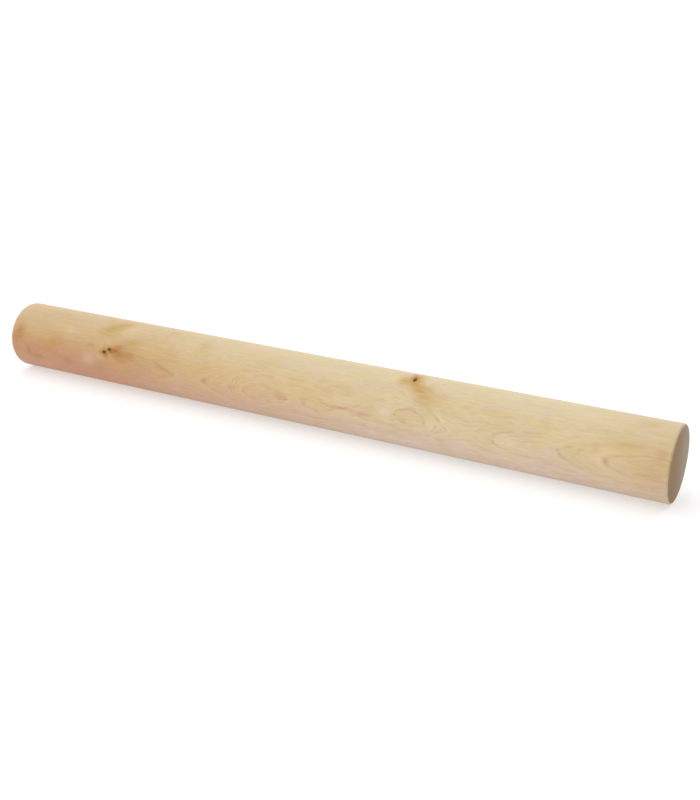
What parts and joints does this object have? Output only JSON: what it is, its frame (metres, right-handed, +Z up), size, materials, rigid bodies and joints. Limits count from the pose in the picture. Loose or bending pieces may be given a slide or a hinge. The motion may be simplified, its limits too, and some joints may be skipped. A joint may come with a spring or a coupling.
{
  "type": "rolling pin",
  "caption": "Straight wooden rolling pin without handles: a plain turned rod with flat ends and eased rims, rolled under the palms to flatten dough.",
  "frame": {"origin": "on the work surface that the pin lies on, under the middle of its length", "axes": "+X along the pin, +Z up from the work surface, Y across the pin"},
  "size_m": [0.5, 0.0478, 0.0479],
  "materials": {
    "birch": "pale birch, turned and finely sanded, bare of varnish, with a faint satin sheen and pin knots"
  },
  "bodies": {
    "root": {"wooden_rod": "birch"}
  },
  "joints": []
}
